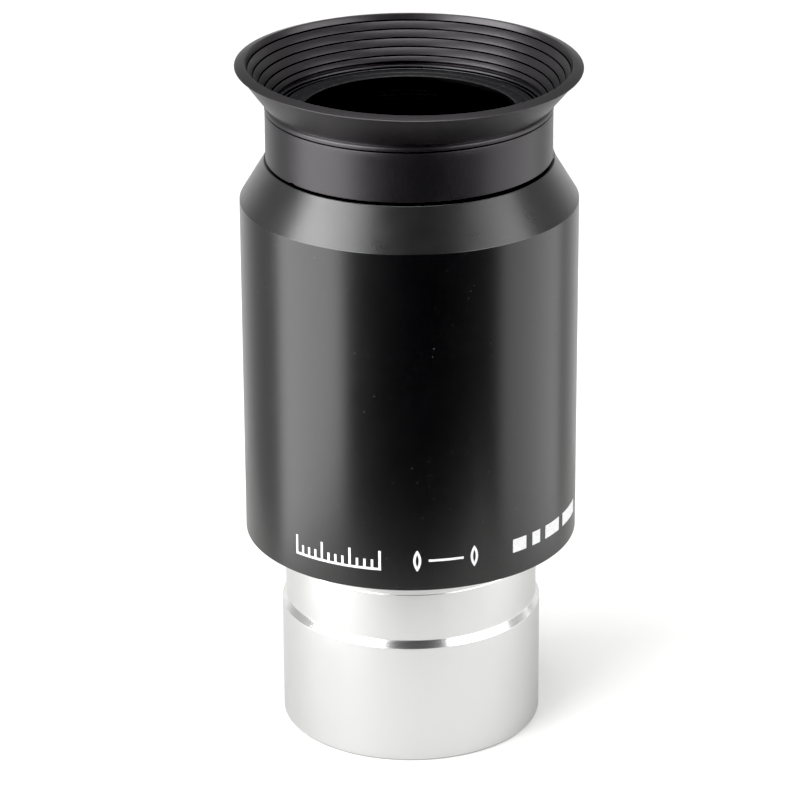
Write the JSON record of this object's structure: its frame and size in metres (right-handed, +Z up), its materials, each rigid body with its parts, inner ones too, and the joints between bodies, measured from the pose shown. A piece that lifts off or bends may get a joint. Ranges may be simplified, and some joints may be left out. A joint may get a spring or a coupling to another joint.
{
  "type": "telescope eyepiece",
  "caption": "1.25 inch telescope eyepiece: bright push-fit barrel with undercut, black housing with a cone, glass lenses in a cell, and a rubber eyecup that folds down.",
  "frame": {"origin": "centre of the open end of the barrel, on which the eyepiece stands", "axes": "+Z up the optical axis from the barrel towards the eye; the part is round about it, so X and Y are free"},
  "size_m": [0.041, 0.041, 0.0838],
  "materials": {
    "bright_metal": "bright plated",
    "matt_black": "matt black",
    "black_anodised": "satin black anodised",
    "ring_black": "black anodised, turned edges",
    "coated_glass": "antireflection coated",
    "clear_glass": "polished",
    "eyecup_rubber": "matt moulded"
  },
  "bodies": {
    "housing": {"housing": "black_anodised", "lens_cell": "ring_black", "eye_lens_flint": "coated_glass", "eye_lens_crown": "clear_glass", "lens_spacer": "matt_black", "field_lens_crown": "clear_glass", "field_lens_flint": "coated_glass", "cell_ring": "matt_black", "eye_ring": "ring_black"},
    "stop": {"field_stop": "matt_black"},
    "barrel": {"barrel": "bright_metal"},
    "eyecup": {"eyecup_cuff": "eyecup_rubber", "eyecup_flare": "eyecup_rubber"},
    "eyecup_rim": {"eyecup_rim": "eyecup_rubber"}
  },
  "joints": [
    {"name": "barrel_travel", "type": "slide", "parent": "housing", "child": "stop", "axis": [0, 0, -1], "range_m": [0, 0.0061]},
    {"name": "barrel_turn", "type": "hinge", "parent": "stop", "child": "barrel", "pos_m": [0, 0, 0.0254], "axis": [0, 0, -1], "range_deg": [0, 2880]},
    {"name": "eyecup_pull", "type": "slide", "parent": "housing", "child": "eyecup", "axis": [0, 0, 1], "range_m": [0, 0.006]},
    {"name": "eyecup_fold", "type": "slide", "parent": "eyecup", "child": "eyecup_rim", "axis": [0, 0, -1], "range_m": [0, 0.0083], "deforming": ["eyecup_flare"]}
  ],
  "couplings": [
    {"joint": "barrel_travel", "follows": "barrel_turn", "m_per_rad": 0.00011937}
  ]
}
